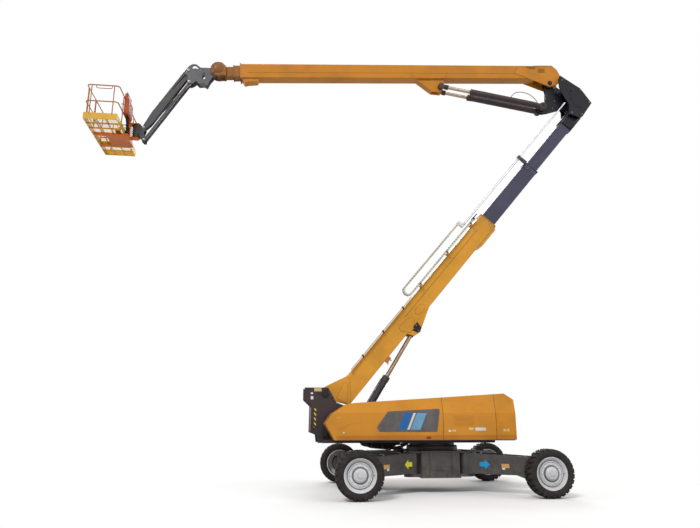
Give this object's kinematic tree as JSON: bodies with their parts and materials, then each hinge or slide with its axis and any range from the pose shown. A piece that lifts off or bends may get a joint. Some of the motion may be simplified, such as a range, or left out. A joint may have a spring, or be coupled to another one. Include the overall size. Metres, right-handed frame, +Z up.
{
  "type": "articulating boom lift",
  "caption": "Self-propelled work platform lifted by a telescoping tower, a telescoping main boom and a parallelogram jib on a wheeled chassis with spreading axles",
  "frame": {"origin": "on the ground under the slew axis", "axes": "+X points to the counterweight end, so the platform end is at -X; +Y is the machine's right side seen by its operator; +Z is up"},
  "size_m": [15.556, 5.04, 13.3131],
  "materials": {
    "yellow_boom": "satin yellow-orange paint",
    "yellow_hood": "gloss yellow-orange moulded hood sheet",
    "counterweight": "satin yellow-orange paint over casting",
    "tower_grey": "satin dark blue-grey paint",
    "knuckle_black": "satin near-black paint",
    "chassis_grey": "satin dark grey paint",
    "jib_grey": "satin mid grey paint",
    "bracket_grey": "satin light grey paint",
    "cylinder_brown": "satin brownish dark grey paint",
    "rod_chrome": "polished hard chrome",
    "wheel_silver": "satin silver-grey paint",
    "tyre_black": "black rubber",
    "head_orange": "satin brown-orange paint over casting",
    "rail_orange": "satin orange-brown powder coat",
    "floor_yellow": "satin yellow powder coat",
    "console_red": "matt red-orange plastic",
    "engine_dark": "dark service block",
    "tank_black": "black moulded tank",
    "track_black": "black chain links",
    "tube_silver": "bare drawn tube",
    "slew_dark": "dark machined ring"
  },
  "bodies": {
    "chassis": {"chassis_frame": "chassis_grey", "slew_ring": "slew_dark"},
    "arm_front_left": {"axle_arm_front_left": "chassis_grey"},
    "steering_front_left": {"steering_knuckle_front_left": "chassis_grey"},
    "wheel_front_left": {"tyre_front_left": "tyre_black", "wheel_front_left": "wheel_silver"},
    "arm_front_right": {"axle_arm_front_right": "chassis_grey"},
    "steering_front_right": {"steering_knuckle_front_right": "chassis_grey"},
    "wheel_front_right": {"tyre_front_right": "tyre_black", "wheel_front_right": "wheel_silver"},
    "arm_rear_left": {"axle_arm_rear_left": "chassis_grey"},
    "steering_rear_left": {"steering_knuckle_rear_left": "chassis_grey"},
    "wheel_rear_left": {"tyre_rear_left": "tyre_black", "wheel_rear_left": "wheel_silver"},
    "arm_rear_right": {"axle_arm_rear_right": "chassis_grey"},
    "steering_rear_right": {"steering_knuckle_rear_right": "chassis_grey"},
    "wheel_rear_right": {"tyre_rear_right": "tyre_black", "wheel_rear_right": "wheel_silver"},
    "turntable": {"turntable_frame": "yellow_boom", "counterweight": "counterweight", "engine_block": "engine_dark", "tank_block": "tank_black"},
    "front_hood_left": {"front_hood_left": "yellow_hood"},
    "front_hood_right": {"front_hood_right": "yellow_hood"},
    "rear_hood_left": {"rear_hood_left": "yellow_hood"},
    "rear_hood_right": {"rear_hood_right": "yellow_hood"},
    "tower_base": {"tower_base": "yellow_boom", "track_lower_run": "track_black"},
    "tower_mid": {"tower_mid": "tower_grey", "track_bend": "track_black"},
    "tower_fly": {"tower_fly": "tower_grey", "knuckle": "knuckle_black", "track_upper_run": "track_black", "track_push_tube": "tube_silver"},
    "tower_cylinder_rod": {"tower_cylinder_rod": "rod_chrome"},
    "tower_cylinder_barrel": {"tower_cylinder_barrel": "cylinder_brown"},
    "main_base": {"main_boom_base": "yellow_boom"},
    "main_mid": {"main_boom_mid": "yellow_boom"},
    "main_fly": {"main_boom_fly": "yellow_boom", "boom_head": "head_orange"},
    "main_cylinder_rod": {"main_cylinder_rod_left": "rod_chrome", "main_cylinder_rod_right": "rod_chrome"},
    "main_cylinder_barrel": {"main_cylinder_barrel_left": "cylinder_brown", "main_cylinder_barrel_right": "cylinder_brown"},
    "level": {"level_bracket": "bracket_grey"},
    "jib": {"jib_beam": "jib_grey"},
    "jib_links": {"jib_link": "jib_grey"},
    "jib_cylinder_barrel": {"jib_cylinder_barrel": "jib_grey"},
    "jib_cylinder_rod": {"jib_cylinder_rod": "rod_chrome"},
    "platform_bracket": {"platform_bracket": "jib_grey"},
    "platform": {"platform_support": "head_orange", "basket_floor": "floor_yellow", "basket_rails": "rail_orange", "control_console": "console_red"},
    "gate": {"basket_gate": "rail_orange"}
  },
  "joints": [
    {"name": "axle_swing_front_left", "type": "hinge", "parent": "chassis", "child": "arm_front_left", "pos_m": [-0.76, -0.72, 0.7], "axis": [0, 0, -1], "range_deg": [0, 36]},
    {"name": "steer_front_left", "type": "hinge", "parent": "arm_front_left", "child": "steering_front_left", "pos_m": [-2.345, -1.905, 0.6], "axis": [0, 0, 1], "range_deg": [-36, 36]},
    {"name": "wheel_spin_front_left", "type": "hinge", "parent": "steering_front_left", "child": "wheel_front_left", "pos_m": [-2.345, -2.3, 0.5775], "axis": [0, 1, 0], "continuous": true},
    {"name": "axle_swing_front_right", "type": "hinge", "parent": "chassis", "child": "arm_front_right", "pos_m": [-0.76, 0.72, 0.7], "axis": [0, 0, 1], "range_deg": [0, 36]},
    {"name": "steer_front_right", "type": "hinge", "parent": "arm_front_right", "child": "steering_front_right", "pos_m": [-2.345, 1.905, 0.6], "axis": [0, 0, -1], "range_deg": [-36, 36]},
    {"name": "wheel_spin_front_right", "type": "hinge", "parent": "steering_front_right", "child": "wheel_front_right", "pos_m": [-2.345, 2.3, 0.5775], "axis": [0, 1, 0], "continuous": true},
    {"name": "axle_swing_rear_left", "type": "hinge", "parent": "chassis", "child": "arm_rear_left", "pos_m": [0.76, -0.72, 0.7], "axis": [0, 0, 1], "range_deg": [0, 36]},
    {"name": "steer_rear_left", "type": "hinge", "parent": "arm_rear_left", "child": "steering_rear_left", "pos_m": [2.345, -1.905, 0.6], "axis": [0, 0, -1], "range_deg": [-36, 36]},
    {"name": "wheel_spin_rear_left", "type": "hinge", "parent": "steering_rear_left", "child": "wheel_rear_left", "pos_m": [2.345, -2.3, 0.5775], "axis": [0, 1, 0], "continuous": true},
    {"name": "axle_swing_rear_right", "type": "hinge", "parent": "chassis", "child": "arm_rear_right", "pos_m": [0.76, 0.72, 0.7], "axis": [0, 0, -1], "range_deg": [0, 36]},
    {"name": "steer_rear_right", "type": "hinge", "parent": "arm_rear_right", "child": "steering_rear_right", "pos_m": [2.345, 1.905, 0.6], "axis": [0, 0, 1], "range_deg": [-36, 36]},
    {"name": "wheel_spin_rear_right", "type": "hinge", "parent": "steering_rear_right", "child": "wheel_rear_right", "pos_m": [2.345, 2.3, 0.5775], "axis": [0, 1, 0], "continuous": true},
    {"name": "swing", "type": "hinge", "parent": "chassis", "child": "turntable", "pos_m": [0, 0, 1.2], "axis": [0, 0, 1], "continuous": true},
    {"name": "front_hood_left_open", "type": "hinge", "parent": "turntable", "child": "front_hood_left", "pos_m": [0, -0.565, 2.42482], "axis": [-0.9979, 0, -0.0653], "range_deg": [0, 65]},
    {"name": "front_hood_right_open", "type": "hinge", "parent": "turntable", "child": "front_hood_right", "pos_m": [0, 0.565, 2.42482], "axis": [0.9979, 0, 0.0653], "range_deg": [0, 65]},
    {"name": "rear_hood_left_open", "type": "hinge", "parent": "turntable", "child": "rear_hood_left", "pos_m": [0, -0.565, 2.42482], "axis": [-0.9979, 0, -0.0653], "range_deg": [0, 65]},
    {"name": "rear_hood_right_open", "type": "hinge", "parent": "turntable", "child": "rear_hood_right", "pos_m": [0, 0.565, 2.42482], "axis": [0.9979, 0, 0.0653], "range_deg": [0, 65]},
    {"name": "tower_lift", "type": "hinge", "parent": "turntable", "child": "tower_base", "pos_m": [-3.02, 0, 2.535], "axis": [0, -1, 0], "range_deg": [-50, 20]},
    {"name": "tower_mid_extend", "type": "slide", "parent": "tower_base", "child": "tower_mid", "axis": [0.6428, 0, 0.766], "range_m": [-1.9, 2.9], "deforming": ["track_lower_run", "track_upper_run"]},
    {"name": "tower_fly_extend", "type": "slide", "parent": "tower_mid", "child": "tower_fly", "axis": [0.6428, 0, 0.766], "range_m": [-1.9, 2.9]},
    {"name": "tower_cylinder_swing", "type": "hinge", "parent": "tower_base", "child": "tower_cylinder_rod", "pos_m": [-0.41069, 0, 4.39229], "axis": [0, -1, 0], "range_deg": [-0.9, 2.1]},
    {"name": "tower_cylinder_stroke", "type": "slide", "parent": "tower_cylinder_rod", "child": "tower_cylinder_barrel", "axis": [-0.5227, 0, -0.8525], "range_m": [-1.11, 0.45]},
    {"name": "main_lift", "type": "hinge", "parent": "tower_fly", "child": "main_base", "pos_m": [4.348, 0, 12.653], "axis": [0, 1, 0], "range_deg": [-46, 72]},
    {"name": "main_mid_extend", "type": "slide", "parent": "main_base", "child": "main_mid", "axis": [-0.9976, 0, -0.0698], "range_m": [0, 8]},
    {"name": "main_fly_extend", "type": "slide", "parent": "main_mid", "child": "main_fly", "axis": [-0.9976, 0, -0.0698], "range_m": [0, 8]},
    {"name": "main_cylinder_swing", "type": "hinge", "parent": "main_base", "child": "main_cylinder_rod", "pos_m": [0.6497, 0, 12.27009], "axis": [0, 1, 0], "range_deg": [-0.55, 0.35]},
    {"name": "main_cylinder_stroke", "type": "slide", "parent": "main_cylinder_rod", "child": "main_cylinder_barrel", "axis": [0.9892, 0, -0.1468], "range_m": [-0.64, 0.99]},
    {"name": "platform_level", "type": "hinge", "parent": "main_fly", "child": "level", "pos_m": [-6.56, 0, 12.26], "axis": [0, -1, 0], "range_deg": [-46, 72]},
    {"name": "jib_lift", "type": "hinge", "parent": "level", "child": "jib", "pos_m": [-7.3, 0, 12.27], "axis": [0, 1, 0], "range_deg": [-5, 125]},
    {"name": "jib_link_swing", "type": "hinge", "parent": "level", "child": "jib_links", "pos_m": [-7.259, 0, 11.879], "axis": [0, 1, 0], "range_deg": [-5, 125]},
    {"name": "jib_foot_swing", "type": "hinge", "parent": "jib", "child": "platform_bracket", "pos_m": [-8.49, 0, 10.28], "axis": [0, 1, 0], "range_deg": [-125, 5]},
    {"name": "jib_cylinder_swing", "type": "hinge", "parent": "jib", "child": "jib_cylinder_barrel", "pos_m": [-8.49, 0, 10.28], "axis": [0, 1, 0], "range_deg": [-6, 1]},
    {"name": "jib_cylinder_stroke", "type": "slide", "parent": "jib_cylinder_barrel", "child": "jib_cylinder_rod", "axis": [0.61, 0, 0.7924], "range_m": [-0.03, 0.7]},
    {"name": "platform_rotate", "type": "hinge", "parent": "platform_bracket", "child": "platform", "pos_m": [-8.7, 0, 10.2], "axis": [0, 0, 1], "range_deg": [-90, 90]},
    {"name": "gate_swing", "type": "hinge", "parent": "platform", "child": "gate", "pos_m": [-9.86, -0.28, 10.5], "axis": [0, 0, 1], "range_deg": [0, 85]}
  ],
  "couplings": [
    {"joint": "tower_fly_extend", "follows": "tower_mid_extend", "ratio": 1},
    {"joint": "tower_cylinder_swing", "follows": "tower_lift", "ratio": -0.041},
    {"joint": "tower_cylinder_stroke", "follows": "tower_lift", "m_per_rad": 1.264},
    {"joint": "main_fly_extend", "follows": "main_mid_extend", "ratio": 1},
    {"joint": "main_cylinder_swing", "follows": "main_lift", "ratio": -0.007},
    {"joint": "main_cylinder_stroke", "follows": "main_lift", "m_per_rad": 0.776},
    {"joint": "platform_level", "follows": "main_lift", "ratio": 1},
    {"joint": "jib_link_swing", "follows": "jib_lift", "ratio": 1},
    {"joint": "jib_foot_swing", "follows": "jib_lift", "ratio": -1},
    {"joint": "jib_cylinder_swing", "follows": "jib_lift", "ratio": -0.033},
    {"joint": "jib_cylinder_stroke", "follows": "jib_lift", "m_per_rad": 0.31}
  ]
}
